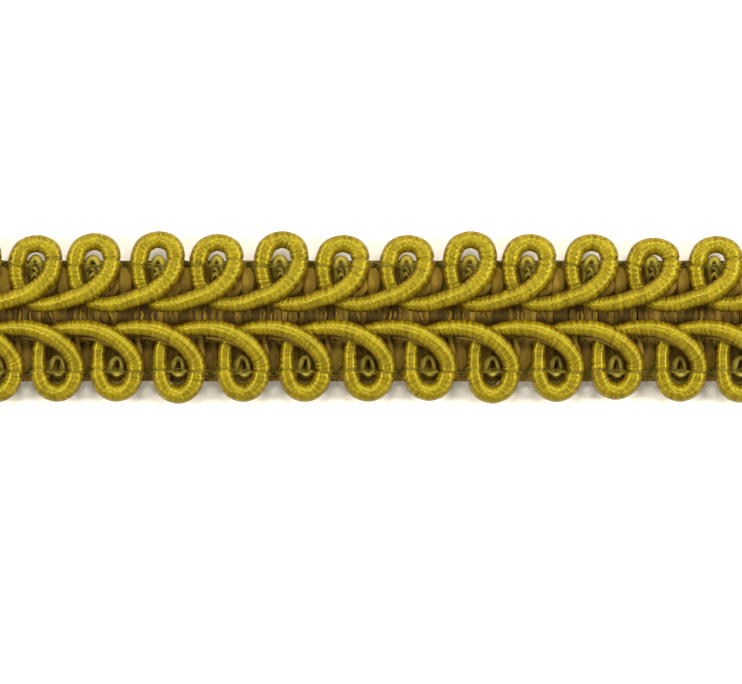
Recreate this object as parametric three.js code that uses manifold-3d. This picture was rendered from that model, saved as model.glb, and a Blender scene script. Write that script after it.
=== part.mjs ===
// Scroll gimp braid: a cut length of flat upholstery trim, lying face up.
// A ribbed ground strip carries two wrapped cords. Each cord runs the whole length
// as one row of curling scrolls, and the two rows turn their loops outwards.
//
// Frame: the origin is the middle of the flat back, +X runs along the braid,
// +Y runs across it towards the upper row's loops, and +Z points out of the face.

import * as THREE from 'three';
import { mergeVertices } from 'three/addons/utils/BufferGeometryUtils.js';
import Module from 'manifold-3d';

const wasm = await Module();
wasm.setup();

// Driving sizes, in millimetres
const PITCH = 5.515; // from one scroll to the next
const REPEATS = 14;
const LENGTH = PITCH * REPEATS;
const CLEARANCE = 0.3; // between the ground and the cords that lie on it

// The cord is a little flatter than round, because the sewing presses it down.
const CORD = { width: 1.45, height: 1.3, sides: 8, stepsPerPoint: 2 };

// How far the cord climbs where it passes over itself: less than its own height,
// because the two turns squash into each other there.
const CROSSING_LIFT = 0.95;

// The ground is a yarn laid to and fro across the braid. Its turns scallop both edges, and
// it sits a little off the middle, so it reaches further under the lower row's loops.
const GROUND = {
  thickness: 1.0,
  grooveDepth: 0.3, // between one pass of the yarn and the next
  passesPerPitch: 8,
  upperReach: 5.15, // from the centre line to the outside of a turn at the upper edge
  lowerReach: 5.75, // and at the lower edge
  turnDip: 0.11, // how far a turn's two shoulders lie inside its outermost point
  notchDepth: 0.45, // how far the gap between two turns lies inside it
  edgeHeight: 0.55, // height of the rounded edge's widest line
  edgeRound: 0.4, // how far the top face stops short of that line
};

const CORD_LEVEL = GROUND.thickness + CLEARANCE + CORD.height / 2;

// How many points of a scroll belong to its tail, from its start to the crossing.
const TAIL_POINTS = 5;

// One scroll's centre line. along is measured from the loop's outermost point, out from
// the braid's centre line, lift is a share of the climb at the crossing, and full is the
// cord's width there as a share of its common width.
const UPPER_SCROLL = [
  { along: -5.36, out: 1.24, lift: 0.05, full: 0.9 },
  { along: -3.71, out: 1.19, lift: 0.35, full: 1.0 },
  { along: -2.02, out: 1.66, lift: 0.85, full: 1.06 },
  { along: -0.36, out: 2.23, lift: 1.0, full: 1.12 },
  { along: 1.25, out: 3.65, lift: 0.65, full: 1.15 },
  { along: 1.66, out: 5.04, lift: 0.1, full: 1.15 },
  { along: 1.33, out: 6.22, lift: -0.2, full: 1.15 },
  { along: 0.13, out: 6.71, lift: -0.4, full: 1.09, peak: true },
  { along: -1.06, out: 6.28, lift: -0.25, full: 1.12 },
  { along: -1.57, out: 5.22, lift: 0, full: 1.15 },
  { along: -1.7, out: 4.1, lift: 0, full: 0.92 },
  { along: -1.38, out: 2.76, lift: 0, full: 0.88 },
  { along: -0.63, out: 1.72, lift: -0.02, full: 0.86 },
];

const LOWER_SCROLL = [
  { along: -5.1, out: 1.16, lift: 0.05, full: 0.88 },
  { along: -3.6, out: 0.92, lift: 0.35, full: 0.96 },
  { along: -1.9, out: 1.04, lift: 0.85, full: 1.06 },
  { along: -0.29, out: 1.69, lift: 1.0, full: 1.08 },
  { along: 1.07, out: 2.81, lift: 0.65, full: 1.1 },
  { along: 1.77, out: 4.11, lift: 0.1, full: 1.08 },
  { along: 1.64, out: 5.43, lift: -0.1, full: 1.1 },
  { along: 1.1, out: 6.35, lift: -0.3, full: 1.1 },
  { along: 0.08, out: 6.76, lift: -0.4, full: 1.1, peak: true },
  { along: -1.0, out: 6.32, lift: -0.3, full: 1.06 },
  { along: -1.46, out: 5.31, lift: 0, full: 1.0 },
  { along: -1.52, out: 4.05, lift: 0, full: 0.88 },
  { along: -1.41, out: 2.6, lift: 0, full: 0.82 },
  { along: -0.85, out: 1.74, lift: -0.02, full: 0.85 },
];

// The scrolls are hand fed and uneven: how far each one sits off the even pitch, and
// how far its loop reaches past the common one, from the left end to the right.
const UPPER_ROW = {
  name: 'upper_scrolls',
  side: 1,
  offset: 0,
  scroll: UPPER_SCROLL,
  shift: [0.08, 0, -0.34, -0.14, -0.38, -0.14, -0.21, 0.04, 0.14, -0.11, -0.08, -0.06, 0, 0.1],
  reach: [0.1, -0.1, 0.08, 0.26, 0, 0.26, -0.1, -0.1, 0.26, 0, 0, -0.34, -0.18, 0.05],
};

const LOWER_ROW = {
  name: 'lower_scrolls',
  side: -1,
  offset: 2.08,
  scroll: LOWER_SCROLL,
  shift: [-0.15, -0.25, -0.46, -0.47, -0.19, -0.17, -0.06, -0.13, 0.03, 0.22, 0.03, 0.22, 0.1, 0],
  reach: [0.05, 0, 0, 0.17, 0, 0, 0, -0.09, 0.17, 0, -0.18, 0, 0.08, 0],
};

// A closed mesh from a list of rings, each a list of points in the same order,
// with both ends capped by fans.
function geometryFromRings(rings) {
  const count = rings[0].length;
  const positions = rings.flat().flatMap((p) => [p.x, p.y, p.z]);
  const index = [];
  for (let r = 0; r < rings.length - 1; r++) {
    for (let i = 0; i < count; i++) {
      const next = (i + 1) % count;
      const a = r * count + i;
      const b = r * count + next;
      index.push(a, b, a + count, b, b + count, a + count);
    }
  }
  const last = (rings.length - 1) * count;
  for (let i = 1; i < count - 1; i++) {
    index.push(0, i + 1, i);
    index.push(last, last + i, last + i + 1);
  }
  const geometry = new THREE.BufferGeometry();
  geometry.setAttribute('position', new THREE.Float32BufferAttribute(positions, 3));
  geometry.setIndex(index);
  return geometry;
}

function toManifold(geometry) {
  const bare = geometry.clone();
  bare.deleteAttribute('normal');
  bare.deleteAttribute('uv');
  const merged = mergeVertices(bare);
  return new wasm.Manifold(new wasm.Mesh({
    numProp: 3,
    vertProperties: merged.attributes.position.array,
    triVerts: new Uint32Array(merged.index.array),
  }));
}

function fromManifold(solid) {
  const mesh = solid.getMesh();
  const geometry = new THREE.BufferGeometry();
  geometry.setAttribute('position', new THREE.BufferAttribute(mesh.vertProperties, 3));
  geometry.setIndex(new THREE.BufferAttribute(mesh.triVerts, 1));
  return geometry;
}

// Where one point of the scroll table lies in repeat k of a row. A loop that reaches
// further is stretched from its tail outwards, so the tails stay in line.
function scrollPoint(row, k, entry) {
  const outs = row.scroll.map((e) => e.out);
  const share = (entry.out - Math.min(...outs)) / (Math.max(...outs) - Math.min(...outs));
  const middle = -LENGTH / 2 + PITCH * (k + 0.5) + row.offset + (row.shift[k] ?? 0);
  return new THREE.Vector3(
    middle + entry.along,
    row.side * (entry.out + (row.reach[k] ?? 0) * share),
    CORD_LEVEL + entry.lift * CROSSING_LIFT,
  );
}

// The control points of a whole row: a lead-in, every repeat, and the start of one more
// scroll past the cut. fullness goes with the points, and peaks holds the index of each
// loop's outermost point.
function rowControls(row) {
  const leadIn = row.scroll.at(-1);
  const points = [scrollPoint(row, -1, leadIn)];
  const fullness = [leadIn.full];
  const peaks = [];
  for (let k = 0; k < REPEATS; k++) {
    for (const entry of row.scroll) {
      if (entry.peak) peaks.push(points.length);
      points.push(scrollPoint(row, k, entry));
      fullness.push(entry.full);
    }
  }
  for (const entry of row.scroll.slice(0, TAIL_POINTS)) {
    points.push(scrollPoint(row, REPEATS, entry));
    fullness.push(entry.full);
  }
  return { points, fullness, peaks };
}

// The cord's section at one place on its centre line, upright and across the path. A fuller
// cord is wider by its whole share and higher by half of it.
function cordRing(curve, u, full) {
  const up = new THREE.Vector3(0, 0, 1);
  const halfWidth = (CORD.width / 2) * full;
  const halfHeight = (CORD.height / 2) * ((1 + full) / 2);
  const centre = curve.getPoint(u);
  const ahead = curve.getTangent(u);
  const across = new THREE.Vector3().crossVectors(up, ahead).normalize();
  const above = new THREE.Vector3().crossVectors(ahead, across).normalize();
  return Array.from({ length: CORD.sides }, (_, i) => {
    const angle = ((i + 0.5) / CORD.sides) * 2 * Math.PI;
    return centre.clone()
      .addScaledVector(across, halfWidth * Math.cos(angle))
      .addScaledVector(above, halfHeight * Math.sin(angle));
  });
}

// One row's cord. Each length from peak to peak is a plain tube, and the lengths are
// joined into one solid, so the cord is fused to itself where it crosses over.
function scrollCord(row) {
  const { points, fullness, peaks } = rowControls(row);
  const curve = new THREE.CatmullRomCurve3(points, false, 'centripetal');
  const segments = points.length - 1;
  const stops = [0, ...peaks, segments];
  const ringAt = (place) => {
    const before = Math.min(Math.floor(place), segments - 1);
    const full = THREE.MathUtils.lerp(fullness[before], fullness[before + 1], place - before);
    return cordRing(curve, place / segments, full);
  };
  const lengths = stops.slice(1).map((to, n) => {
    const from = stops[n];
    const steps = (to - from) * CORD.stepsPerPoint;
    const rings = Array.from({ length: steps + 1 }, (_, i) => ringAt(from + i / CORD.stepsPerPoint));
    return toManifold(geometryFromRings(rings));
  });
  const joined = lengths.reduce((whole, piece) => whole.add(piece));
  return fromManifold(cutToLength(joined));
}

// The braid is cut straight across at both ends. A scrap of a loop that the cut frees
// from its cord falls away, so only the largest piece is kept.
function cutToLength(solid) {
  const kept = solid.intersect(toManifold(new THREE.BoxGeometry(LENGTH, LENGTH, LENGTH)));
  const [largest] = kept.decompose().sort((a, b) => b.volume() - a.volume());
  return largest;
}

// How far one edge of the ground falls short of its reach at a station. Odd stations run
// along the middle of a pass. Even ones lie between two passes, where every other one is
// the middle of a turn that joins them at this edge, and the rest are the gaps between.
function edgeDip(station, turnsAt) {
  const onPass = station % 2 === 1;
  if (onPass) return GROUND.turnDip;
  const onTurn = (station / 2) % 2 === turnsAt;
  return onTurn ? 0 : GROUND.notchDepth;
}

// The ground: a flat-backed strip whose top face rises over each pass of the yarn and
// dips between them. The yarn turns at the lower edge after one pass, at the upper edge
// after the next, and so on.
function groundStrip() {
  const stations = GROUND.passesPerPitch * REPEATS * 2;
  const upperTurns = 0;
  const lowerTurns = 1;
  const rings = Array.from({ length: stations + 1 }, (_, station) => {
    const x = -LENGTH / 2 + (LENGTH * station) / stations;
    const onPass = station % 2 === 1;
    const top = onPass ? GROUND.thickness : GROUND.thickness - GROUND.grooveDepth;
    const upper = GROUND.upperReach - edgeDip(station, upperTurns);
    const lower = -(GROUND.lowerReach - edgeDip(station, lowerTurns));
    return [
      [upper - GROUND.edgeRound, 0],
      [upper, GROUND.edgeHeight],
      [upper - GROUND.edgeRound, top],
      [lower + GROUND.edgeRound, top],
      [lower, GROUND.edgeHeight],
      [lower + GROUND.edgeRound, 0],
    ].map(([y, z]) => new THREE.Vector3(x, y, z));
  });
  return geometryFromRings(rings);
}

function namedMesh(name, geometry, material) {
  const mesh = new THREE.Mesh(geometry, material);
  mesh.name = name;
  geometry.computeVertexNormals();
  return mesh;
}

const cordRayon = new THREE.MeshStandardMaterial({ color: '#b59f24', roughness: 0.45, metalness: 0 });
const groundYarn = new THREE.MeshStandardMaterial({ color: '#75632a', roughness: 0.8, metalness: 0 });

const braid = new THREE.Group();
braid.add(namedMesh('ground', groundStrip(), groundYarn));
for (const row of [UPPER_ROW, LOWER_ROW]) {
  braid.add(namedMesh(row.name, scrollCord(row), cordRayon));
}

export default braid;
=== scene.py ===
import math

import bmesh
import bpy
import numpy as np
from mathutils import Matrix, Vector


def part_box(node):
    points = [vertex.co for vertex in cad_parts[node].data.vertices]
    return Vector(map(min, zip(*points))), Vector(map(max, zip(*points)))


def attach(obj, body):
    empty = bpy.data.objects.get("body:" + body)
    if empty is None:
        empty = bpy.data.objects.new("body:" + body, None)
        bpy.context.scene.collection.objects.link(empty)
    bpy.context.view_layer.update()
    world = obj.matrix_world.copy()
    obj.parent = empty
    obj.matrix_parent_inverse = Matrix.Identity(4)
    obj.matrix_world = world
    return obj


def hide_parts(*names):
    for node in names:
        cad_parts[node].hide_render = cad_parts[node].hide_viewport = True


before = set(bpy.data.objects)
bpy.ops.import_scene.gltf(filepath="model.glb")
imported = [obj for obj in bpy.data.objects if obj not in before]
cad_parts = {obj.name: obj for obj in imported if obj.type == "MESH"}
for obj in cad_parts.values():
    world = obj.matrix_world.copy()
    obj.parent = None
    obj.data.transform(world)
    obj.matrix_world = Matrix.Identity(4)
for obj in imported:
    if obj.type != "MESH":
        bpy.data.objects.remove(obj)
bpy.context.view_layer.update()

# A cut length of scroll gimp braid lies face up on a pale floor, seen from straight above.
# X runs along the braid, Y runs across it and Z points out of its face.

MM = 0.001

# Sizes of the braid, from the frame and from the trade
GROUND_LOW, GROUND_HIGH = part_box("ground")
REPEATS = 14
LENGTH = GROUND_HIGH.x - GROUND_LOW.x
PITCH = LENGTH / REPEATS
GROUND_TOP = GROUND_HIGH.z

CORD_HALF_WIDTH = 0.725 * MM
CORD_HALF_HEIGHT = 0.65 * MM
CLEARANCE = 0.3 * MM
CORD_LEVEL = GROUND_TOP + CLEARANCE + CORD_HALF_HEIGHT
CROSSING_LIFT = 0.95 * MM
LOWER_OFFSET = 2.08 * MM

# How far apart the places of a path are worked out
PATH_STEP = 0.02 * MM

# One scroll's centre line. The columns are the distance along from the loop's outermost
# point in mm, the distance out from the middle of the braid in mm, the share of the climb
# at the crossing, how hard the cord is pressed from above, and how full it is there.
UPPER_SCROLL = np.array([
    (-5.36, 1.24, 0.05, 0.1, 0.90),
    (-3.71, 1.19, 0.35, 0.0, 1.00),
    (-2.02, 1.66, 0.85, 0.0, 1.06),
    (-0.36, 2.23, 1.00, 0.0, 1.12),
    (1.25, 3.65, 0.65, 0.0, 1.15),
    (1.66, 5.04, 0.10, 0.0, 1.15),
    (1.33, 6.22, -0.20, 0.0, 1.15),
    (0.13, 6.71, -0.40, 0.0, 1.09),
    (-1.06, 6.28, -0.25, 0.0, 1.12),
    (-1.57, 5.22, 0.00, 0.0, 1.15),
    (-1.70, 4.10, 0.00, 0.0, 0.92),
    (-1.38, 2.76, 0.00, 1.0, 0.88),
    (-0.63, 1.72, -0.02, 0.9, 0.86),
])
LOWER_SCROLL = np.array([
    (-5.10, 1.16, 0.05, 0.3, 0.88),
    (-3.60, 0.92, 0.35, 0.0, 0.96),
    (-1.90, 1.04, 0.85, 0.0, 1.06),
    (-0.29, 1.69, 1.00, 0.0, 1.08),
    (1.07, 2.81, 0.65, 0.0, 1.10),
    (1.77, 4.11, 0.10, 0.0, 1.08),
    (1.64, 5.43, -0.10, 0.0, 1.10),
    (1.10, 6.35, -0.30, 0.0, 1.10),
    (0.08, 6.76, -0.40, 0.0, 1.10),
    (-1.00, 6.32, -0.30, 0.0, 1.06),
    (-1.46, 5.31, 0.00, 0.0, 1.00),
    (-1.52, 4.05, 0.00, 0.0, 0.88),
    (-1.41, 2.60, 0.00, 0.5, 0.82),
    (-0.85, 1.74, -0.02, 1.0, 0.85),
])

# How far each scroll sits off the even pitch, and how far its loop reaches past the
# common one, in mm, from the left end to the right
UPPER_SHIFT = [0.08, 0, -0.34, -0.14, -0.38, -0.14, -0.21, 0.04, 0.14, -0.11, -0.08, -0.06, 0, 0.1]
UPPER_REACH = [0.1, -0.1, 0.08, 0.26, 0, 0.26, -0.1, -0.1, 0.26, 0, 0, -0.34, -0.18, 0.05]
LOWER_SHIFT = [-0.15, -0.25, -0.46, -0.47, -0.19, -0.17, -0.06, -0.13, 0.03, 0.22, 0.03, 0.22, 0.1, 0]
LOWER_REACH = [0.05, 0, 0, 0.17, 0, 0, 0, -0.09, 0.17, 0, -0.18, 0, 0.08, 0]

# The rayon that covers the cord is wound three ends at a time. Rings and sides are those
# of the mesh, knots are the places round a wrap that have a height of their own, and the
# shares are the shallowest and the deepest groove, beside the common one.
WRAP_PITCH = 0.23 * MM
WRAP_ENDS = 3
WRAP_RINGS = 4
WRAP_SIDES = 18
WRAP_KNOTS = 9
WRAP_GROOVE = 0.010 * MM
GROOVE_SHARES = (0.35, 1.5)
WRAP_PROFILE = np.array([-1.0, -0.15, 0.0, -0.15])
WRAP_UNEVEN = 0.016 * MM
WRAP_DRIFT = 0.22 * WRAP_PITCH
BUNDLE_UNEVEN = 0.022 * MM
SWELL = 0.014 * MM
WRAPS_PER_SWELL = 5

# The share of its half height that the cord loses on the side that a crossing presses
FLATTENED = 0.27

# Where the binding threads cross, out from the middle of the braid in mm: over a loop's
# rising limb, over its falling limb, in its hole, and between it and the next loop
BINDER_OUT = {
    1: {"rising": 5.09, "falling": 4.58, "hole": 4.62, "gap": 4.78},
    -1: {"rising": 4.85, "falling": 4.69, "hole": 4.78, "gap": 4.96},
}

# The share by which a binding thread narrows the cord and over what length, how far the
# threads stray from their places in mm, and where they end past the cuts
PINCH = 0.2
PINCH_SPREAD = 0.15 * MM
BINDER_WANDER = 0.11
BINDER_END_OUT = 4.8 * MM
BINDER_PAST_CUT = 1 * MM

# How high the binding threads hang in the middle of a hole and of a gap between loops, in mm
SAG = {"hole": 1.7, "gap": 1.45}

# The ground yarn is laid across the braid eight times in each scroll's length.
PASSES_PER_SCROLL = 8
PASSES = PASSES_PER_SCROLL * REPEATS
PASS_PITCH = PITCH / PASSES_PER_SCROLL

# The photograph's frame
PHOTO_WIDTH = 742
PHOTO_HEIGHT = 684
MM_PER_PIXEL = 0.08929
BRAID_MIDDLE_PIXEL = (375.25, 317.5)
SCALE_LEVEL = 1.5 * MM

# The studio, in metres
LIGHT_DISTANCE = 0.35
LIGHT_SIZE = 0.09
FLOOR_HALF_SIZE = 0.6


def jitter(count, spread, seed):
    """Even random numbers from -spread to spread, the same in each run."""
    return np.random.default_rng(seed).uniform(-spread, spread, count)


def curve_through(points, steps):
    """A Catmull-Rom curve through the points with centripetal knots: between two points runs
    a cubic whose end slopes come from the neighbours on both sides, each weighted by the
    square root of its distance. The first three columns are the place, and the others
    follow along by straight interpolation."""
    place = points[:, :3]
    place = np.vstack([2 * place[0] - place[1], place, 2 * place[-1] - place[-2]])
    before, start, end, after = place[:-3], place[1:-2], place[2:-1], place[3:]
    knot_a, knot_b, knot_c = (
        np.sqrt(np.linalg.norm(q - p, axis=1))[:, None]
        for p, q in ((before, start), (start, end), (end, after))
    )
    slope_start = (start - before) / knot_a - (end - before) / (knot_a + knot_b)
    slope_start = (slope_start + (end - start) / knot_b) * knot_b
    slope_end = (end - start) / knot_b - (after - start) / (knot_b + knot_c)
    slope_end = (slope_end + (after - end) / knot_c) * knot_b
    t = np.linspace(0, 1, steps, endpoint=False)[None, :, None]
    square = -3 * start + 3 * end - 2 * slope_start - slope_end
    cube = 2 * start - 2 * end + slope_start + slope_end
    curve = start[:, None] + slope_start[:, None] * t + square[:, None] * t**2 + cube[:, None] * t**3
    rest = points[:-1, None, 3:] * (1 - t) + points[1:, None, 3:] * t
    return np.concatenate([curve, rest], axis=2).reshape(-1, points.shape[1])


class Path:
    """A centre line by its length: its place, and its directions ahead, across and above,
    at any distance from its start."""

    def __init__(self, points, steps=40, soften=0.0):
        dense = curve_through(np.asarray(points, float), steps)
        length = np.linalg.norm(np.diff(dense[:, :3], axis=0), axis=1)
        reached = np.concatenate([[0], np.cumsum(length)])
        self.length = reached[-1]
        self.at = np.linspace(0, self.length, int(self.length / PATH_STEP) + 2)
        self.rows = np.stack([np.interp(self.at, reached, c) for c in dense.T], axis=1)
        if soften:
            self.soften(soften)
        ahead = np.gradient(self.rows[:, :3], axis=0)
        self.ahead = ahead / np.linalg.norm(ahead, axis=1)[:, None]

    def soften(self, spread):
        """Blurs every column along the path with a bell curve of this spread."""
        step = self.at[1]
        half = min(int(3 * spread / step), len(self.at) // 2 - 1)
        weight = np.exp(-0.5 * (np.arange(-half, half + 1) * step / spread) ** 2)
        weight /= weight.sum()
        padded = np.pad(self.rows, ((half, half), (0, 0)), mode="reflect", reflect_type="odd")
        self.rows = np.stack([np.convolve(c, weight, "valid") for c in padded.T], axis=1)

    def sample(self, distance):
        """The rows at each distance, and the unit directions ahead, across and above."""
        rows = np.stack([np.interp(distance, self.at, c) for c in self.rows.T], axis=-1)
        ahead = np.stack([np.interp(distance, self.at, c) for c in self.ahead.T], axis=-1)
        ahead /= np.linalg.norm(ahead, axis=-1)[..., None]
        across = np.cross((0.0, 0.0, 1.0), ahead)
        across /= np.linalg.norm(across, axis=-1)[..., None]
        return rows, ahead, across, np.cross(ahead, across)


def scroll_route(scroll, shift, reach, side, offset):
    """The control points of a whole row of scrolls, in metres: the common scroll repeated at
    the pitch, each one moved along by its shift and stretched outwards by its reach. One
    point before the first scroll and five after the last take the cord past both cuts."""
    low, high = scroll[:, 1].min(), scroll[:, 1].max()
    share = (scroll[:, 1] - low) / (high - low)
    shift = np.concatenate([[0], shift, [0]])[:, None]
    reach = np.concatenate([[0], reach, [0]])[:, None]
    middle = -LENGTH / 2 + PITCH * (np.arange(-1, REPEATS + 1)[:, None] + 0.5) + offset
    rows = np.stack([
        middle + (shift + scroll[:, 0]) * MM,
        side * (scroll[:, 1] + reach * share) * MM,
        CORD_LEVEL + scroll[:, 2] * CROSSING_LIFT + 0 * middle,
        scroll[:, 2] + 0 * middle,
        scroll[:, 3] + 0 * middle,
        scroll[:, 4] + 0 * middle,
    ], axis=2).reshape(-1, 6)
    count = len(scroll)
    return rows[count - 1 : count * (REPEATS + 1) + 5]


def mesh_object(name, points, faces, material, smooth=True):
    """A new mesh object at the origin, from an array of points and lists of faces."""
    mesh = bpy.data.meshes.new(name)
    mesh.from_pydata(points.tolist(), [], faces)
    mesh.polygons.foreach_set("use_smooth", np.full(len(mesh.polygons), smooth))
    mesh.materials.append(material)
    made = bpy.data.objects.new(name, mesh)
    bpy.context.scene.collection.objects.link(made)
    return made


def set_uv(obj, name, corners):
    """Gives the piece a UV map from one row for each corner of each face."""
    layer = obj.data.uv_layers.new(name=name)
    layer.data.foreach_set("uv", corners.astype(np.float32).ravel())


def cut_ends(obj, cap_material):
    """Cuts the piece straight across at both ends of the braid and closes the cuts with
    flat faces of the material at cap_material."""
    shape = bmesh.new()
    shape.from_mesh(obj.data)
    for side in (-1, 1):
        everything = shape.verts[:] + shape.edges[:] + shape.faces[:]
        bmesh.ops.bisect_plane(
            shape,
            geom=everything,
            plane_co=(side * LENGTH / 2, 0, 0),
            plane_no=(side, 0, 0),
            clear_outer=True,
        )
    rims = [e for e in shape.edges if e.is_boundary]
    caps = bmesh.ops.holes_fill(shape, edges=rims, sides=0)["faces"]
    for face in caps:
        face.material_index = cap_material
        face.smooth = False
    bmesh.ops.recalc_face_normals(shape, faces=shape.faces[:])
    shape.to_mesh(obj.data)
    shape.free()


def between_wraps(table, wrap, v):
    """A value that runs smoothly along the cord from one wrap's entry to the next, and along
    a wrap's helix to the entry of the wrap that it turns into."""
    number = np.arange(len(table))
    here = np.interp(wrap, number, table)
    after_a_turn = np.interp(wrap + WRAP_ENDS, number, table)
    return here * (1 - v) + after_a_turn * v


def round_the_wrap(table, wrap, v):
    """A wrap's own unevenness: its entries are heights at even places round the section, and
    half a cosine wave joins each to the next. The last joins the wrap that it turns into."""
    closed = np.concatenate([table, np.roll(table[:, :1], -WRAP_ENDS, axis=0)], axis=1)
    place = v * table.shape[1]
    knot = np.minimum(place.astype(int), table.shape[1] - 1)
    ease = 0.5 - 0.5 * np.cos(np.pi * (place - knot))
    return closed[wrap, knot] * (1 - ease) + closed[wrap, knot + 1] * ease


def wrapped_cord(name, path, side, materials):
    """The cord as one tube wound with rayon. Each ring of points is one helix line, which
    moves three wraps along in a turn, with opposite hands in the two rows. The section is an
    oval, flattened below where the cord crosses over and above where it is crossed, and
    narrowed where a binding thread pinches it. Where the cord is full, the oval is wider by
    that share and taller by half of it. Grooves part the wraps, and every wrap and every
    bundle of three wraps stands a little proud or low by its own amount. UV map wraps counts
    the wraps along the cord, and runs once round it from below."""
    wraps = int(path.length / WRAP_PITCH) - WRAP_ENDS - 1
    rings = wraps * WRAP_RINGS
    ring = np.arange(rings)[:, None]
    v = np.arange(WRAP_SIDES)[None, :] / WRAP_SIDES
    wrap = ring / WRAP_RINGS
    number = ring // WRAP_RINGS
    random = np.random.default_rng(11 + side)
    table_size = wraps + WRAP_ENDS + 1
    drift = random.uniform(-1, 1, table_size) * WRAP_DRIFT
    swell = random.uniform(-1, 1, table_size // WRAPS_PER_SWELL + 2) * SWELL
    swell = np.interp(np.arange(table_size) / WRAPS_PER_SWELL, np.arange(len(swell)), swell)
    groove = random.uniform(*GROOVE_SHARES, (table_size, 1)) * WRAP_GROOVE
    single = random.uniform(-0.5, 0.5, (table_size, WRAP_KNOTS)) * WRAP_UNEVEN
    bundles = table_size // WRAP_ENDS + 1
    bundle = random.uniform(-0.5, 0.5, (bundles, WRAP_KNOTS)) * BUNDLE_UNEVEN
    bundle = np.repeat(bundle, WRAP_ENDS, axis=0)[:table_size]

    distance = (wrap + WRAP_ENDS * v) * WRAP_PITCH + between_wraps(drift, wrap, v)
    rows, ahead, across, above = path.sample(distance)
    lift, press, full = rows[..., 3], rows[..., 4], rows[..., 5]
    out = rows[..., 1] * side
    rising = ahead[..., 1] * side
    binder = np.where(rising > 0, BINDER_OUT[side]["rising"], BINDER_OUT[side]["falling"]) * MM
    upright = np.clip(np.abs(rising) * 2 - 0.6, 0, 1)
    pinch = PINCH * upright * np.exp(-((out - binder) / PINCH_SPREAD) ** 2)
    angle = -np.pi / 2 - side * v * 2 * np.pi
    squash = FLATTENED * np.where(np.sin(angle) > 0, press, np.clip(lift, 0, 1) ** 2)
    relief = WRAP_PROFILE[ring % WRAP_RINGS] * groove[number[:, 0]]
    relief = relief + round_the_wrap(single + bundle, number, v) + between_wraps(swell, wrap, v)
    wide = CORD_HALF_WIDTH * full * (1 - pinch) + relief
    tall = CORD_HALF_HEIGHT * (0.5 + 0.5 * full) * (1 - pinch) * (1 - squash) + relief
    points = (
        rows[..., :3]
        + across * (wide * np.cos(angle))[..., None]
        + above * (tall * np.sin(angle))[..., None]
    )

    turn = WRAP_ENDS * WRAP_RINGS
    i = np.arange(rings - 1 - turn)[:, None]
    j = np.arange(WRAP_SIDES)[None, :]
    over_seam = np.where(j == WRAP_SIDES - 1, turn, 0)
    next_j = (j + 1) % WRAP_SIDES
    corners = [(i, j), (i + 1, j), (i + 1 + over_seam, next_j), (i + over_seam, next_j)]
    faces = np.stack([a * WRAP_SIDES + b + 0 * i for a, b in corners], axis=-1).reshape(-1, 4)
    cord = mesh_object(name, points.reshape(-1, 3), faces.tolist(), materials[0])
    cord.data.materials.append(materials[1])
    corner_u = np.stack([i, i + 1, i + 1, i], axis=-1) / WRAP_RINGS + 0 * j[..., None]
    corner_v = np.stack([j, j, j + 1, j + 1], axis=-1) / WRAP_SIDES + 0 * i[..., None]
    set_uv(cord, "wraps", np.stack([corner_u, corner_v], axis=-1).reshape(-1, 2))
    cut_ends(cord, cap_material=1)
    return cord


def yarn_tubes(name, routes, sides, step, material, soften=0.04 * MM):
    """One piece made of closed tubes, one along each route. A route's columns are its place,
    the tube's half width and half height, and its tint. UV map yarn counts the length in
    millimetres and goes once round, and attribute tint colours it."""
    all_points, all_faces, all_uv, all_tint = [], [], [], []
    start = 0
    for route in routes:
        path = Path(route, soften=soften)
        rings = max(int(path.length / step), 8)
        distance = np.linspace(0, path.length, rings)
        rows, ahead, across, above = path.sample(distance)
        angle = (np.arange(sides) / sides - 0.25) * 2 * np.pi
        points = (
            rows[:, None, :3]
            + across[:, None] * (rows[:, 3:4] * np.cos(angle))[..., None]
            + above[:, None] * (rows[:, 4:5] * np.sin(angle))[..., None]
        )
        i = np.arange(rings - 1)[:, None]
        j = np.arange(sides)[None, :]
        corners = [(i, j), (i + 1, j), (i + 1, (j + 1) % sides), (i, (j + 1) % sides)]
        quads = np.stack([a * sides + b for a, b in corners], axis=-1).reshape(-1, 4) + start
        first = np.arange(sides) + start
        last = first + (rings - 1) * sides
        length = distance / MM
        corner_u = np.stack([length[i], length[i + 1], length[i + 1], length[i]], axis=-1) + 0 * j[..., None]
        corner_v = np.stack([j, j, j + 1, j + 1], axis=-1) / sides + 0 * i[..., None]
        all_points.append(points.reshape(-1, 3))
        all_faces += quads.tolist() + [first.tolist(), last[::-1].tolist()]
        all_uv += [np.stack([corner_u, corner_v], axis=-1).reshape(-1, 2), np.zeros((2 * sides, 2))]
        all_tint.append(np.repeat(rows[:, 5], sides))
        start += rings * sides
    tubes = mesh_object(name, np.concatenate(all_points), all_faces, material)
    set_uv(tubes, "yarn", np.concatenate(all_uv))
    tint = tubes.data.attributes.new("tint", "FLOAT", "POINT")
    tint.data.foreach_set("value", np.concatenate(all_tint).astype(np.float32))
    return tubes


# Materials

def linear(hex_colour):
    """The linear colour of an sRGB hex value."""
    srgb = [int(hex_colour[k : k + 2], 16) / 255 for k in (1, 3, 5)]
    return [c / 12.92 if c <= 0.04045 else ((c + 0.055) / 1.055) ** 2.4 for c in srgb] + [1.0]


def node(tree, kind, inputs=None, **settings):
    """Adds a node with its settings, and gives each input a value or the output that feeds it."""
    made = tree.nodes.new(kind)
    for key, value in settings.items():
        setattr(made, key, value)
    for key, value in (inputs or {}).items():
        if isinstance(value, bpy.types.NodeSocket):
            tree.links.new(value, made.inputs[key])
        else:
            made.inputs[key].default_value = value
    return made


def new_material(name):
    """A new material, and its node tree, which is empty."""
    material = bpy.data.materials.new(name)
    material.use_nodes = True
    material.node_tree.nodes.clear()
    return material, material.node_tree


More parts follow.
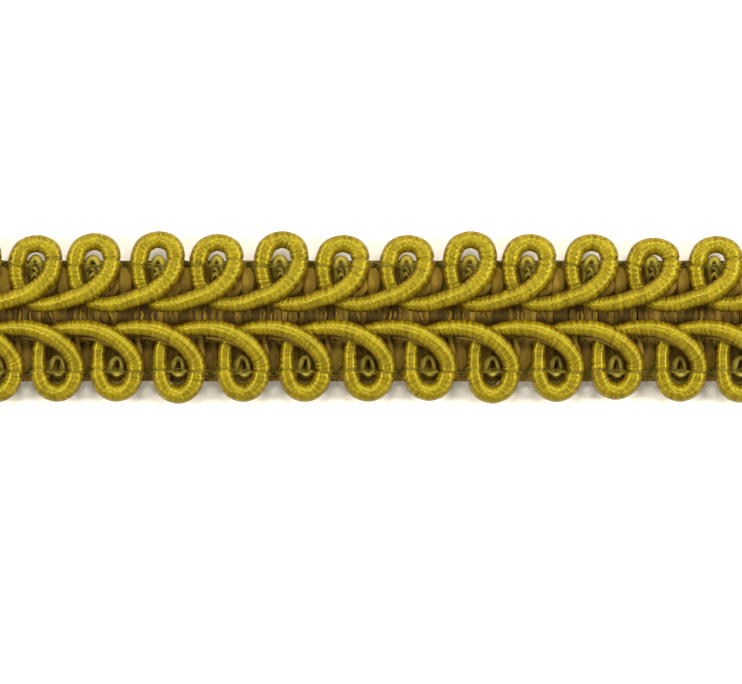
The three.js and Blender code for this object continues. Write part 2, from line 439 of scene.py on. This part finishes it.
def wound_rayon():
    """Viscose rayon filament wound round a cotton core: a satin that shines in lines, because
    all its filaments run round the cord. Every second wrap stands up as a rounded ridge, and
    its filaments lie a little aslant, so the lines of shine zigzag from ridge to ridge. The
    colour is painted darker and browner towards the cord's flanks and underside, with a
    jagged edge: painted shade. The patterns read UV map wraps, in which one wrap is 0.23 mm
    long and a whole turn is one."""
    material, tree = new_material("wound_rayon")
    uv = node(tree, "ShaderNodeUVMap", uv_map="wraps").outputs[0]
    axes = node(tree, "ShaderNodeSeparateXYZ", {0: uv}).outputs

    # Bundles of filaments about 0.2 mm wide run round the cord, and the wraps change their
    # shade about every 0.4 mm along it.
    place = node(tree, "ShaderNodeMapping", {"Vector": uv, "Scale": (1.2, 1.0, 1)}).outputs[0]
    filaments = node(tree, "ShaderNodeTexNoise", {
        "Vector": place, "Scale": 1, "Detail": 3,
    }).outputs[0]
    place = node(tree, "ShaderNodeMapping", {"Vector": uv, "Scale": (0.6, 3, 1)}).outputs[0]
    wraps = node(tree, "ShaderNodeTexNoise", {
        "Vector": place, "Scale": 1, "Detail": 1,
    }).outputs[0]
    mixed = node(tree, "ShaderNodeMath", {0: filaments, 1: wraps}, operation="ADD").outputs[0]

    # A ridge is the square of a sine along the cord, shifted here and there by the wraps.
    shift = node(tree, "ShaderNodeMath", {0: wraps, 1: 2.0}, operation="MULTIPLY").outputs[0]
    angle = node(tree, "ShaderNodeMath", {
        0: axes[0], 1: math.pi / 2, 2: shift,
    }, operation="MULTIPLY_ADD").outputs[0]
    sine = node(tree, "ShaderNodeMath", {0: angle}, operation="SINE").outputs[0]
    ridge = node(tree, "ShaderNodeMath", {0: sine, 1: sine}, operation="MULTIPLY").outputs[0]

    shade = node(tree, "ShaderNodeMapRange", {
        "Value": mixed, "From Min": 0.7, "From Max": 1.3,
    }).outputs[0]
    olive = node(tree, "ShaderNodeMix", {
        0: shade, 6: linear("#574504"), 7: linear("#796508"),
    }, data_type="RGBA").outputs[2]

    # How far round from the crown a point lies, in turns, less a jagged part. Past a quarter
    # of a turn it faces down. Towards the flanks the colour is mixed with dark brown, up to 85
    # percent: painted shade on the flanks and underside.
    signed = node(tree, "ShaderNodeMath", {0: axes[1], 1: 0.5}, operation="SUBTRACT").outputs[0]
    turns = node(tree, "ShaderNodeMath", {0: signed}, operation="ABSOLUTE").outputs[0]
    jagged = node(tree, "ShaderNodeMath", {
        0: mixed, 1: -0.26, 2: turns,
    }, operation="MULTIPLY_ADD").outputs[0]
    jagged = node(tree, "ShaderNodeMath", {
        0: ridge, 1: -0.03, 2: jagged,
    }, operation="MULTIPLY_ADD").outputs[0]
    under = node(tree, "ShaderNodeMapRange", {
        "Value": jagged, "From Min": -0.16, "From Max": -0.05, "To Max": 0.85,
    }).outputs[0]
    # Painted shade: dark brown mixed into the colour on the cord's flanks and underside.
    colour = node(tree, "ShaderNodeMix", {
        0: under, 6: olive, 7: linear("#482a04"),
    }, data_type="RGBA").outputs[2]

    fine = node(tree, "ShaderNodeBump", {
        "Height": filaments, "Strength": 0.4, "Distance": 0.025 * MM,
    }).outputs[0]
    broad = node(tree, "ShaderNodeBump", {
        "Height": wraps, "Strength": 0.5, "Distance": 0.03 * MM, "Normal": fine,
    }).outputs[0]
    ridged = node(tree, "ShaderNodeBump", {
        "Height": ridge, "Strength": 1.0, "Distance": 0.03 * MM, "Normal": broad,
    }).outputs[0]
    tangent = node(
        tree, "ShaderNodeTangent", direction_type="UV_MAP", uv_map="wraps"
    ).outputs[0]
    shader = node(tree, "ShaderNodeBsdfPrincipled", {
        "Base Color": colour,
        "Roughness": 0.43,
        "IOR": 1.54,
        "Specular IOR Level": 1.0,
        "Specular Tint": (1.0, 0.9, 0.09, 1.0),
        "Anisotropic": 0.92,
        "Anisotropic Rotation": 0.04,
        "Tangent": tangent,
        "Normal": ridged,
    }).outputs[0]
    node(tree, "ShaderNodeOutputMaterial", {"Surface": shader})
    return material


def cotton_core():
    """Unbleached cotton threads, cut across, that fill the cord: matt, with a spot for each
    thread, about 0.17 mm wide."""
    material, tree = new_material("cotton_core")
    place = node(tree, "ShaderNodeTexCoord").outputs["Object"]
    fibres = node(tree, "ShaderNodeTexVoronoi", {
        "Vector": place, "Scale": 6000,
    }).outputs["Distance"]
    colour = node(tree, "ShaderNodeMix", {
        0: fibres, 6: linear("#cdbf8e"), 7: linear("#8f7d4c"),
    }, data_type="RGBA").outputs[2]
    bump = node(tree, "ShaderNodeBump", {
        "Height": fibres, "Strength": 0.6, "Distance": 0.05 * MM,
    }).outputs[0]
    shader = node(tree, "ShaderNodeBsdfPrincipled", {
        "Base Color": colour, "Roughness": 0.95, "Normal": bump,
    }).outputs[0]
    node(tree, "ShaderNodeOutputMaterial", {"Surface": shader})
    return material


def soft_yarn(name, dark, light, roughness):
    """Loosely spun viscose yarn with its fibres along it: dull, with streaks of lighter
    fibre about a millimetre long. Attribute tint shifts it from its dark to its light
    colour; the tints set on some pieces carry painted light and shade as well as the yarn's
    own tone."""
    material, tree = new_material(name)
    uv = node(tree, "ShaderNodeUVMap", uv_map="yarn").outputs[0]
    place = node(tree, "ShaderNodeMapping", {"Vector": uv, "Scale": (0.9, 9, 1)}).outputs[0]
    fibres = node(tree, "ShaderNodeTexNoise", {
        "Vector": place, "Scale": 1, "Detail": 3,
    }).outputs[0]
    tint = node(tree, "ShaderNodeAttribute", attribute_name="tint").outputs["Fac"]
    streak = node(tree, "ShaderNodeMath", {0: fibres, 1: -0.5}, operation="ADD").outputs[0]
    shade = node(tree, "ShaderNodeMath", {
        0: streak, 1: 1.2, 2: tint,
    }, operation="MULTIPLY_ADD", use_clamp=True).outputs[0]
    colour = node(tree, "ShaderNodeMix", {
        0: shade, 6: linear(dark), 7: linear(light),
    }, data_type="RGBA").outputs[2]
    bump = node(tree, "ShaderNodeBump", {
        "Height": fibres, "Strength": 0.5, "Distance": 0.05 * MM,
    }).outputs[0]
    shader = node(tree, "ShaderNodeBsdfPrincipled", {
        "Base Color": colour,
        "Roughness": roughness,
        "Normal": bump,
        "Specular IOR Level": 0.15,
    }).outputs[0]
    node(tree, "ShaderNodeOutputMaterial", {"Surface": shader})
    return material


def plain_paper():
    """Matt cream paper, for the floor."""
    material, tree = new_material("plain_paper")
    shader = node(tree, "ShaderNodeBsdfPrincipled", {
        "Base Color": linear("#f6eedc"), "Roughness": 0.9,
    }).outputs[0]
    node(tree, "ShaderNodeOutputMaterial", {"Surface": shader})
    return material


# The pieces

def limbs(path, side):
    """Where a row's cord passes under the binding threads, in the order in which they lie
    along the braid: the place along it, the centre line's height, the cord's half width
    and whether the cord rises towards the loop's end or falls from it."""
    x, out, z = path.rows[:, 0], path.rows[:, 1] * side, path.rows[:, 2]
    half = CORD_HALF_WIDTH * path.rows[:, 5]
    rising = path.ahead[:, 1] * side
    found = []
    for way, direction in (("rising", 1), ("falling", -1)):
        past = out > BINDER_OUT[side][way] * MM
        turns = np.flatnonzero(past[1:] != past[:-1])
        turns = turns[rising[turns] * direction > 0]
        found += [(x[k], z[k], half[k], way) for k in turns]
    return sorted(found)


def middles(found, first, second):
    """The places halfway between two limbs that follow each other along the braid."""
    return np.array([
        (a[0] + b[0]) / 2 for a, b in zip(found[:-1], found[1:]) if (a[3], b[3]) == (first, second)
    ])


def binding_routes(found, side):
    """The sewing threads along one row. Over a limb of a loop a thread follows the upper half
    of the cord's oval, and between two limbs it dips in a V. The columns of the table are
    each thread's place beside the common line over a rising limb, over a falling limb, in a
    hole and in a gap, and its radius, all in mm, and its tint."""
    threads = (
        (0.00, -0.17, -0.12, 0.00, 0.040, 0.2),
        (0.05, 0.02, 0.02, 0.10, 0.035, 0.4),
        (0.02, 0.17, 0.14, -0.10, 0.035, 0.6),
    )
    routes = []
    for number, (rising, falling, hole, gap, radius, tint) in enumerate(threads):
        beside = {"rising": rising, "falling": falling, "hole": hole, "gap": gap}
        wobble = jitter((len(found) + 1, 5), BINDER_WANDER, 31 + number + 3 * side)
        section = (radius * MM, radius * MM, tint)
        over = CORD_HALF_HEIGHT * (1 - PINCH) + 0.3 * radius * MM
        rows = [
            (end * (LENGTH / 2 + BINDER_PAST_CUT), side * BINDER_END_OUT, GROUND_TOP, *section)
            for end in (-1, 1)
        ]
        for k, (x, z, half, way) in enumerate(found):
            out = BINDER_OUT[side][way] + beside[way] + wobble[k, 0]
            wide = half * (1 - PINCH) + 0.5 * radius * MM
            for degrees in (-88, -62, -33, 0, 33, 62, 88):
                a = math.radians(degrees)
                rows.append((x + wide * math.sin(a), side * out * MM, z + over * math.cos(a), *section))
            if k + 1 < len(found):
                place = "hole" if way == "falling" else "gap"
                to_next = found[k + 1][0] - x
                for n, share in enumerate((0.32, 0.5, 0.68)):
                    out = BINDER_OUT[side][place] + beside[place] + wobble[k, n + 1]
                    level = SAG[place] + 2 * abs(share - 0.5) + wobble[k, n + 2]
                    rows.append((x + to_next * share, side * out * MM, level * MM, *section))
        rows = np.array(rows)
        routes.append(rows[np.argsort(rows[:, 0], kind="stable")])
    return routes


def knot_route(x, side, seed):
    """A sewing knot: two and a half flat turns of thread, wound one on the other. A turn is
    an oval of a cosine along and a sine out, about 0.44 mm by 0.32 mm, and the turns climb
    0.12 mm in all. Each knot is tilted and moved a little by its own amount."""
    random = np.random.default_rng(seed)
    t = np.linspace(0, 2.5 * 2 * np.pi, 30)
    tilt = random.uniform(-0.4, 0.4)
    y = side * (BINDER_OUT[side]["gap"] - 0.05 + random.uniform(-0.08, 0.08)) * MM
    along = (0.22 + 0.03 * np.sin(2 * t)) * MM * np.cos(t)
    out = 0.16 * MM * np.sin(t)
    return np.column_stack([
        x + random.uniform(-0.08, 0.08) * MM + along * np.cos(tilt) - out * np.sin(tilt),
        y + along * np.sin(tilt) + out * np.cos(tilt),
        GROUND_TOP + 0.28 * MM + 0.12 * MM * t / t[-1] + 0.05 * MM * np.cos(3 * t),
        np.full_like(t, 0.09 * MM),
        np.full_like(t, 0.08 * MM),
        np.full_like(t, 0.1 + random.uniform(0, 0.3)),
    ])


def fan_routes(x, side, seed):
    """Short threads that fan from a knot to the side of the next loop: three for each knot,
    each of which ends further in than the one before."""
    random = np.random.default_rng(seed)
    routes = []
    for spread in (-0.1, -0.5, -0.95):
        end = spread + random.uniform(-0.12, 0.12)
        out = BINDER_OUT[side]["gap"]
        rows = np.array([
            (0.02, out - 0.05, 0.35),
            (0.2, out - 0.05 + 0.3 * end, 0.42),
            (0.42, out - 0.05 + 0.75 * end, 0.5),
            (0.62, out - 0.05 + end, 0.62),
        ]) * (1, side, 1) * MM
        rows[:, 0] += x
        rows[:, 2] += GROUND_TOP
        radius = np.full((4, 2), 0.05 * MM)
        routes.append(np.hstack([rows, radius, np.full((4, 1), 0.2 + random.uniform(0, 0.4))]))
    return routes


# The woven backing, a hair narrower than the ground yarn that covers it
CLOTH_THICKNESS = 0.3 * MM
CLOTH_RIB = 0.03 * MM
CLOTH_WIDTH_SHARE = 0.99
CLOTH_STEPS_PER_PASS = 6
CLOTH_LINES = 25
CLOTH_TINT = 0.2


def ground_cloth(material):
    """The flat woven backing under the ground yarn: a thin closed strip whose upper face is
    ribbed by a cosine along the braid, one wave to a pass."""
    x = np.linspace(-LENGTH / 2, LENGTH / 2, PASSES * CLOTH_STEPS_PER_PASS + 1)
    y = np.linspace(GROUND_LOW.y, GROUND_HIGH.y, CLOTH_LINES) * CLOTH_WIDTH_SHARE
    rib = CLOTH_RIB * np.cos(2 * np.pi * (x + LENGTH / 2) / PASS_PITCH)
    grid_x, grid_y = np.meshgrid(x, y, indexing="ij")
    top = np.stack([grid_x, grid_y, CLOTH_THICKNESS + rib[:, None] + 0 * grid_y], axis=-1)
    bottom = np.stack([grid_x, grid_y, 0 * grid_y], axis=-1)
    rows, columns = grid_x.shape
    points = np.concatenate([top.reshape(-1, 3), bottom.reshape(-1, 3)])
    i = np.arange(rows - 1)[:, None]
    j = np.arange(columns - 1)[None, :]
    corner = i * columns + j
    upper = np.stack([corner, corner + columns, corner + columns + 1, corner + 1], axis=-1).reshape(-1, 4)
    lower = upper[:, ::-1] + rows * columns
    rim = np.concatenate([
        np.arange(rows - 1) * columns,
        (rows - 1) * columns + np.arange(columns - 1),
        (rows - np.arange(rows - 1)) * columns - 1,
        columns - 1 - np.arange(columns - 1),
    ])
    rim_next = np.roll(rim, -1)
    wall = np.stack([rim_next, rim, rim + rows * columns, rim_next + rows * columns], axis=-1)
    faces = np.concatenate([upper, lower, wall])
    cloth = mesh_object("ground_cloth", points, faces.tolist(), material, smooth=False)
    index = faces.ravel()
    set_uv(cloth, "yarn", np.stack([points[index, 1] / MM, points[index, 0] / PASS_PITCH], axis=-1))
    tint = cloth.data.attributes.new("tint", "FLOAT", "POINT")
    tint.data.foreach_set("value", np.full(len(points), CLOTH_TINT, np.float32))
    return cloth


# The eight passes of ground yarn in one repeat. The columns are the yarn's half width at
# its upper end, in the middle and at its lower end, how high it lies at the upper end, the
# middle and the lower end, all in mm, and its tint.
GROUND_PASSES = np.array([
    (0.40, 0.46, 0.50, 0.64, 0.66, 0.66, 0.15),
    (0.50, 0.40, 0.52, 0.70, 0.60, 0.68, 0.35),
    (0.48, 0.50, 0.38, 0.66, 0.70, 0.62, 0.10),
    (0.36, 0.44, 0.60, 0.62, 0.64, 0.72, 0.30),
    (0.38, 0.36, 0.50, 0.62, 0.58, 0.66, 0.55),
    (0.52, 0.52, 0.48, 0.70, 0.70, 0.68, 0.20),
    (0.50, 0.40, 0.36, 0.66, 0.62, 0.62, 0.45),
    (0.62, 0.50, 0.38, 0.72, 0.66, 0.62, 0.15),
])

# The ground yarn's turns at each edge: where a pass starts to bend, and its outermost
# centre line, out from the middle of the braid in mm
UPPER_BEND, UPPER_EDGE = 4.45, 4.86
LOWER_BEND, LOWER_EDGE = 5.00, 5.52

# A turn's height, half width and half height at the edge, and a pass's half height
EDGE_TURN = np.array([0.55, 0.26, 0.24]) * MM
PASS_HALF_HEIGHT = 0.27 * MM

# How many passes past the start of a scroll its upper and its lower hole lie
UPPER_HOLE_PASS = 4
LOWER_HOLE_PASS = 7

# How deep the sewing pulls the ground down. The columns are the distance from the middle
# of the braid towards the upper row, and the dip, both in mm.
GROUND_DIPS = (
    (-LOWER_BEND, 0.0),
    (-2.6, 0.0),
    (-0.75, 0.30),
    (0.08, 0.0),
    (1.0, 0.30),
    (2.5, 0.0),
    (UPPER_BEND, 0.0),
)


def ground_route(upper_holes, lower_holes):
    """The soft yarn laid to and fro over the backing: eight passes to a scroll, each turning
    into the next at one edge. The turns are drawn along so that one lies in each hole. A
    pass runs straight from edge to edge but for a small bow, its width and height are read
    between three values, and its tint is raised towards both edges and at the turns, and
    lowered in the middle: painted shade where the tails shade the middle of the braid, and
    painted light in the gaps and holes."""
    place = np.arange(PASSES) + 0.5
    first = PASSES_PER_SCROLL * np.arange(REPEATS)
    plain = -LENGTH / 2 + place * PASS_PITCH
    at_upper = np.interp(place, first + UPPER_HOLE_PASS, upper_holes, left=np.nan, right=np.nan)
    at_lower = np.interp(place, first + LOWER_HOLE_PASS, lower_holes, left=np.nan, right=np.nan)
    at_upper = np.where(np.isnan(at_upper), plain, at_upper)
    at_lower = np.where(np.isnan(at_lower), plain, at_lower)
    random = np.random.default_rng(41)
    rows = []
    for k in range(PASSES):
        way = 1 if k % 2 else -1
        wide_up, wide_mid, wide_low, z_up, z_mid, z_low, tint = GROUND_PASSES[k % PASSES_PER_SCROLL]
        tint = tint + random.uniform(-0.15, 0.2)
        grow = random.uniform(0.88, 1.12)
        bow = random.uniform(-0.12, 0.12)
        lifts = random.uniform(-0.05, 0.05, len(GROUND_DIPS))
        for n, (out, dip) in enumerate(GROUND_DIPS[::way]):
            up = (out + LOWER_BEND) / (UPPER_BEND + LOWER_BEND)
            x = at_lower[k] + (at_upper[k] - at_lower[k]) * up + bow * (1 - abs(2 * up - 1)) * MM
            wide = np.interp(up, (0, 0.5, 1), (wide_low, wide_mid, wide_up)) * grow
            level = np.interp(up, (0, 0.5, 1), (z_low, z_mid, z_up)) + lifts[n] - dip
            # Painted light and shade: the tint is raised towards both edges and lowered in the middle, where
            # the tails shade the ground.
            lighter = 0.8 * abs(2 * up - 1) - 0.25
            rows.append((x, out * MM, level * MM, wide * MM, PASS_HALF_HEIGHT, tint + lighter))
        if k + 1 < PASSES:
            at_edge, edge = (at_upper, UPPER_EDGE) if way > 0 else (at_lower, -LOWER_EDGE)
            x = (at_edge[k] + at_edge[k + 1]) / 2
            # The turn's tint is raised too: painted light.
            rows.append((x, edge * MM, *EDGE_TURN, tint + 0.2))
    return np.array(rows)


# Where the ground yarn bulges up between two loops. Each row of a table is one point of a
# strand. The columns are the place beside the gap's middle, the distance out, the height,
# the half width and half height, all in mm, and the tint.
# The upper bulges are tinted lighter than the lower ones, lightest in their outer half: painted light where
# the light from beyond the upper row falls into the upper gaps.
UPPER_BULGES = (
    np.array([
        (0.02, 4.85, 0.80, 0.34, 0.22, 0.5),
        (0.02, 4.40, 1.10, 0.50, 0.24, 1.0),
        (-0.02, 3.80, 1.24, 0.60, 0.26, 1.2),
        (-0.10, 3.10, 1.26, 0.62, 0.26, 1.1),
        (-0.20, 2.40, 1.10, 0.56, 0.25, 0.5),
        (-0.25, 1.70, 0.90, 0.36, 0.26, 0.3),
    ]),
    np.array([
        (-1.85, 1.85, 0.90, 0.22, 0.20, 0.3),
        (-1.40, 2.10, 1.06, 0.28, 0.24, 0.5),
        (-1.02, 2.50, 1.14, 0.30, 0.25, 0.6),
        (-0.75, 3.10, 1.12, 0.28, 0.24, 0.5),
        (-0.58, 3.90, 0.85, 0.20, 0.20, 0.3),
    ]),
)
LOWER_BULGES = (
    np.array([
        (0.00, 5.35, 0.78, 0.38, 0.24, 0.3),
        (0.00, 4.80, 1.02, 0.52, 0.25, 0.4),
        (0.02, 4.00, 1.14, 0.62, 0.27, 0.4),
        (0.00, 3.10, 1.12, 0.64, 0.27, 0.3),
        (-0.10, 2.20, 0.92, 0.54, 0.26, 0.2),
    ]),
    np.array([
        (-1.15, 1.85, 1.00, 0.20, 0.20, 0.3),
        (-0.90, 2.45, 1.15, 0.26, 0.24, 0.5),
        (-0.70, 3.10, 1.15, 0.26, 0.24, 0.4),
        (-0.60, 3.80, 0.95, 0.20, 0.20, 0.2),
    ]),
)

# The turns of soft yarn that show in a hole, in the same columns beside the hole's middle.
# The first upper turn and the second lower turn are tinted lightest at their crowns:
# painted light and highlight where light reaches into the hole. The third lower turn,
# tinted dark, lies at the far end of each lower hole and partly stands in for the shade
# there.
UPPER_TURNS = (
    np.array([
        (-0.46, 2.70, 1.05, 0.22, 0.20, 0.3),
        (-0.50, 3.70, 1.20, 0.22, 0.20, 0.4),
        (-0.48, 4.50, 1.35, 0.23, 0.20, 0.6),
        (-0.35, 5.12, 1.42, 0.26, 0.22, 0.8),
        (0.02, 5.34, 1.42, 0.28, 0.24, 1.0),
        (0.38, 5.12, 1.42, 0.29, 0.24, 1.2),
        (0.50, 4.50, 1.35, 0.24, 0.20, 0.8),
        (0.50, 3.70, 1.20, 0.22, 0.20, 0.4),
        (0.46, 2.70, 1.05, 0.22, 0.20, 0.3),
    ]),
    np.array([
        (-0.46, 4.20, 1.40, 0.10, 0.09, 0.6),
        (-0.20, 4.48, 1.56, 0.14, 0.10, 0.6),
        (0.06, 4.34, 1.60, 0.15, 0.10, 0.5),
        (0.24, 4.05, 1.52, 0.12, 0.09, 0.5),
        (0.44, 4.25, 1.40, 0.10, 0.09, 0.4),
    ]),
    np.array([
        (-0.44, 3.30, 1.30, 0.12, 0.10, 0.3),
        (-0.22, 3.72, 1.48, 0.14, 0.10, 0.5),
        (0.02, 3.95, 1.52, 0.14, 0.10, 0.6),
        (0.26, 3.60, 1.46, 0.13, 0.10, 0.3),
        (0.46, 3.20, 1.30, 0.12, 0.10, 0.6),
    ]),
)
LOWER_TURNS = (
    np.array([
        (-0.72, 5.00, 1.00, 0.18, 0.16, 0.0),
        (-0.62, 4.55, 1.28, 0.25, 0.18, 0.4),
        (-0.50, 4.10, 1.46, 0.28, 0.19, 0.5),
        (-0.24, 3.72, 1.48, 0.23, 0.19, 0.4),
        (0.06, 3.60, 1.46, 0.22, 0.18, 0.4),
        (0.32, 3.80, 1.40, 0.21, 0.17, 0.3),
        (0.46, 4.25, 1.34, 0.22, 0.17, 0.4),
        (0.48, 4.75, 1.20, 0.18, 0.16, 0.2),
        (0.44, 5.10, 1.00, 0.14, 0.15, 0.0),
    ]),
    np.array([
        (-0.64, 4.76, 1.15, 0.14, 0.13, 0.4),
        (-0.34, 5.00, 1.40, 0.17, 0.14, 0.8),
        (0.02, 5.12, 1.48, 0.20, 0.15, 1.1),
        (0.38, 5.04, 1.44, 0.18, 0.14, 1.0),
        (0.66, 4.80, 1.20, 0.14, 0.13, 0.4),
    ]),
    np.array([
        (-0.62, 5.35, 0.70, 0.20, 0.18, 0.0),
        (-0.36, 5.78, 0.74, 0.25, 0.20, 0.4),
        (0.02, 5.94, 0.76, 0.27, 0.20, 0.5),
        (0.40, 5.78, 0.74, 0.25, 0.20, 0.4),
        (0.64, 5.35, 0.70, 0.20, 0.18, 0.0),
    ]),
)

# A soft strand that shows along the lower side of each over-limb of the lower row: a
# painted reflection, standing in for the rim of light that the ground reflects onto the
# cord's lower flank
LOWER_SHEEN_STRANDS = (
    np.array([
        (-3.30, 1.78, 1.60, 0.11, 0.12, 0.5),
        (-2.45, 1.86, 1.95, 0.13, 0.14, 0.3),
        (-1.40, 2.08, 2.45, 0.13, 0.14, 0.35),
        (-0.56, 2.46, 2.55, 0.13, 0.14, 0.35),
        (0.20, 2.88, 2.35, 0.13, 0.14, 0.3),
        (0.62, 3.20, 2.10, 0.12, 0.13, 0.3),
        (0.92, 3.60, 1.70, 0.10, 0.11, 0.5),
    ]),
)

# Short lighter strands that stand out of the ground between the two rows
CENTRE_STRANDS = (
    np.array([
        (-1.30, 0.60, 0.78, 0.09, 0.08, 0.8),
        (-1.22, 0.28, 0.94, 0.12, 0.10, 0.6),
        (-1.28, -0.08, 0.94, 0.12, 0.10, 0.5),
        (-1.20, -0.40, 0.78, 0.09, 0.08, 0.8),
    ]),
    np.array([
        (-0.72, 0.50, 0.78, 0.08, 0.08, 0.7),
        (-0.80, 0.20, 0.92, 0.11, 0.09, 0.5),
        (-0.74, -0.25, 0.78, 0.08, 0.08, 0.7),
    ]),
    np.array([
        (1.38, 0.75, 0.80, 0.11, 0.09, 0.6),
        (1.52, 0.40, 0.94, 0.14, 0.11, 0.5),
        (1.70, 0.05, 0.93, 0.13, 0.10, 0.4),
        (1.78, -0.25, 0.78, 0.09, 0.08, 0.6),
    ]),
)


def repeated(places, side, strands, seed, uneven=1.0):
    """The common strands at every place of one row, each a little narrower, wider, moved, or
    skewed about a point 4 mm out."""
    random = np.random.default_rng(seed)
    routes = []
    for x in places:
        for strand in strands:
            rows = strand.copy()
            rows[:, 0] *= 1 + uneven * random.uniform(-0.14, 0.12)
            rows[:, 0] += uneven * random.uniform(-0.1, 0.1) * (rows[:, 1] - 4)
            rows[:, 0] += random.uniform(-0.06, 0.06)
            rows[:, 1] += uneven * random.uniform(-0.08, 0.06)
            rows[:, 5] += random.uniform(-0.2, 0.2)
            rows[:, :5] *= MM
            rows[:, 0] += x
            rows[:, 1] *= side
            routes.append(rows)
    return routes


def braid():
    """All pieces of the braid, each riding on its body."""
    cord_finish = (wound_rayon(), cotton_core())
    khaki = soft_yarn("ground_viscose", "#473408", "#a4842c", 0.75)
    olive = soft_yarn("turn_viscose", "#463608", "#a89634", 0.5)
    thread = soft_yarn("binding_rayon", "#3c360a", "#8c7c1c", 0.45)
    pieces = {}
    holes, gaps = {}, {}
    rows = (
        ("upper", UPPER_SCROLL, UPPER_SHIFT, UPPER_REACH, 1, 0, UPPER_TURNS, UPPER_BULGES),
        ("lower", LOWER_SCROLL, LOWER_SHIFT, LOWER_REACH, -1, LOWER_OFFSET, LOWER_TURNS, LOWER_BULGES),
    )
    for row, scroll, shift, reach, side, offset, turns, bulges in rows:
        path = Path(scroll_route(scroll, shift, reach, side, offset), soften=0.12 * MM)
        found = limbs(path, side)
        holes[row] = middles(found, "falling", "rising")
        gaps[row] = middles(found, "rising", "falling")
        knots = [knot_route(x, side, 61 + n) for n, x in enumerate(gaps[row])]
        for n, x in enumerate(gaps[row]):
            knots += fan_routes(x, side, 161 + n)
        pieces[row + "_cord"] = wrapped_cord(row + "_cord", path, side, cord_finish)
        for name, routes, sides, step, material in (
            ("_turns", repeated(holes[row], side, turns, 51 + side), 12, 0.07 * MM, olive),
            ("_bulges", repeated(gaps[row], side, bulges, 71 + side), 16, 0.12 * MM, khaki),
            ("_threads", binding_routes(found, side), 8, 0.06 * MM, thread),
            ("_knots", knots, 8, 0.06 * MM, thread),
        ):
            pieces[row + name] = yarn_tubes(row + name, routes, sides, step, material)
    # Painted reflection: strands along the lower flanks of the lower row's over-limbs.
    sheen_strands = repeated(holes["lower"], -1, LOWER_SHEEN_STRANDS, 81, uneven=0.2)
    pieces["lower_sheen_strands"] = yarn_tubes("lower_sheen_strands", sheen_strands, 10, 0.08 * MM, khaki)
    strands = repeated(holes["upper"], 1, CENTRE_STRANDS, 91)
    pieces["centre_strands"] = yarn_tubes("centre_strands", strands, 8, 0.06 * MM, khaki)
    cloth = ground_cloth(khaki)
    route = ground_route(holes["upper"][:REPEATS], holes["lower"][:REPEATS])
    yarn = yarn_tubes("ground_yarn", [route], 12, 0.3 * MM, khaki)
    for piece in (yarn, *pieces.values()):
        if not piece.name.endswith("_cord"):
            cut_ends(piece, cap_material=0)

    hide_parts("ground")
    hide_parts("upper_scrolls")
    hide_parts("lower_scrolls")
    for piece in (cloth, yarn, *pieces.values()):
        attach(piece, "root")


# The studio

def floor(material):
    """A plain pale floor under the braid."""
    points = np.array([(-1, -1, 0), (1, -1, 0), (1, 1, 0), (-1, 1, 0)]) * FLOOR_HALF_SIZE
    made = mesh_object("floor", points, [[0, 1, 2, 3]], material, smooth=False)


def soft_light(name, azimuth, tilt, power):
    """A square soft light that faces the braid, tilt degrees from straight above, on the side
    that azimuth gives: 0 along +X and 90 along +Y."""
    data = bpy.data.lights.new(name, "AREA")
    data.shape = "RECTANGLE"
    data.size, data.size_y = LIGHT_SIZE, LIGHT_SIZE
    data.energy = power
    light = bpy.data.objects.new(name, data)
    a, t = math.radians(azimuth), math.radians(tilt)
    away = Vector((math.sin(t) * math.cos(a), math.sin(t) * math.sin(a), math.cos(t)))
    light.location = away * LIGHT_DISTANCE
    light.rotation_euler = away.to_track_quat("Z", "Y").to_euler()
    bpy.context.scene.collection.objects.link(light)


def photo_camera():
    """A camera straight above, far enough off that the loops show no slant at the sides, with
    the photograph's width and middle. Its scale is true at the height SCALE_LEVEL."""
    data = bpy.data.cameras.new("camera")
    data.lens = 200
    data.sensor_width = 36
    width = PHOTO_WIDTH * MM_PER_PIXEL * MM
    distance = width * data.lens / data.sensor_width
    middle_x = (PHOTO_WIDTH / 2 - BRAID_MIDDLE_PIXEL[0]) * MM_PER_PIXEL * MM
    middle_y = (BRAID_MIDDLE_PIXEL[1] - PHOTO_HEIGHT / 2) * MM_PER_PIXEL * MM
    camera = bpy.data.objects.new("camera", data)
    camera.location = (middle_x, middle_y, distance + SCALE_LEVEL)
    data.clip_start, data.clip_end = 0.01, 5
    bpy.context.scene.collection.objects.link(camera)
    bpy.context.scene.camera = camera


def studio():
    """Soft white light, mostly from both ends and from beyond the upper row. Each light's
    azimuth and tilt are in degrees and its power in watts."""
    photo_camera()
    floor(plain_paper())
    soft_light("right", 0, 51, 0.94)
    soft_light("left", 180, 51, 0.95)
    soft_light("far_right", 45, 60, 0.86)
    soft_light("far_left", 135, 60, 0.48)
    soft_light("far", 90, 35, 0.45)
    soft_light("near", 270, 62, 0.12)
    world = bpy.data.worlds.new("studio")
    world.use_nodes = True
    background = world.node_tree.nodes["Background"]
    background.inputs["Color"].default_value = (1, 1, 1, 1)
    background.inputs["Strength"].default_value = 0.48
    bpy.context.scene.world = world
    bpy.context.scene.view_settings.view_transform = "Standard"


studio()
braid()
